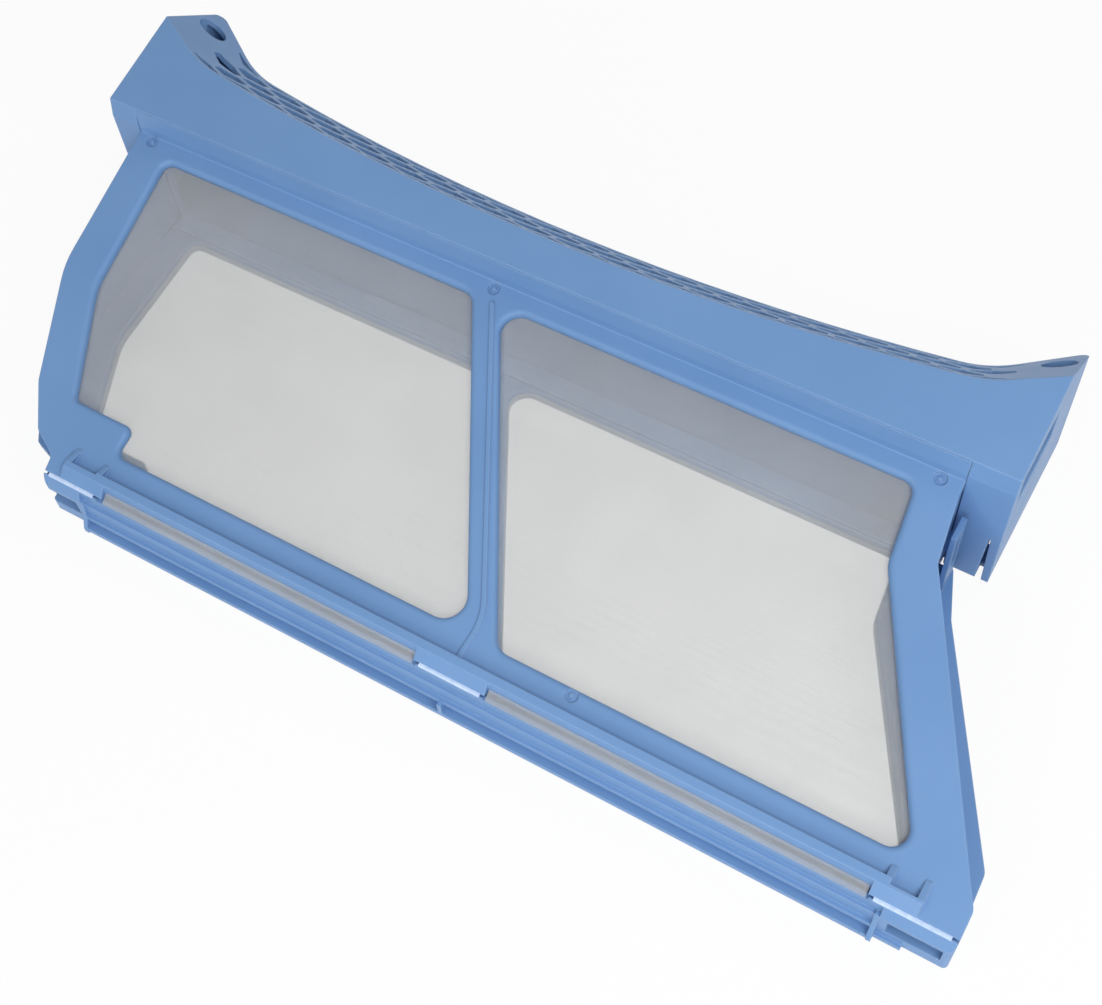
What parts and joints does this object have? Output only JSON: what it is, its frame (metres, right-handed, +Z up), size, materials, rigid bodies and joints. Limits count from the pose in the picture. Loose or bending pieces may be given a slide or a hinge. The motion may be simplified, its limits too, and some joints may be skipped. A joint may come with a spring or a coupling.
{
  "type": "tumble dryer lint filter",
  "caption": "Lint filter for a tumble dryer: a wedge-shaped mesh pocket with slanting windows that folds open along its lower edge, under a hood with a curved honeycomb grille.",
  "frame": {"origin": "middle of the bounding box, on the table the closed filter lies on", "axes": "+X along the hood and the folding edge, +Y from the folding edge to the hood, +Z up through the front windows"},
  "size_m": [0.429, 0.213, 0.0756],
  "materials": {
    "plastic": "moulded, satin",
    "mesh": "fine woven nylon"
  },
  "bodies": {
    "back_leaf": {"back_frame": "plastic", "back_mesh_left": "mesh", "back_mesh_right": "mesh", "hinge_film_left": "plastic", "hinge_film_middle": "plastic", "hinge_film_right": "plastic", "hinge_mesh_left": "mesh", "hinge_mesh_right": "mesh"},
    "front_leaf": {"front_frame": "plastic", "hood": "plastic", "front_mesh_left": "mesh", "front_mesh_right": "mesh"}
  },
  "joints": [
    {"name": "fold", "type": "hinge", "parent": "back_leaf", "child": "front_leaf", "pos_m": [0, -0.10099, 0.0216], "axis": [1, 0, 0], "range_deg": [0, 165], "deforming": ["hinge_film_left", "hinge_film_middle", "hinge_film_right", "hinge_mesh_left", "hinge_mesh_right"]}
  ]
}
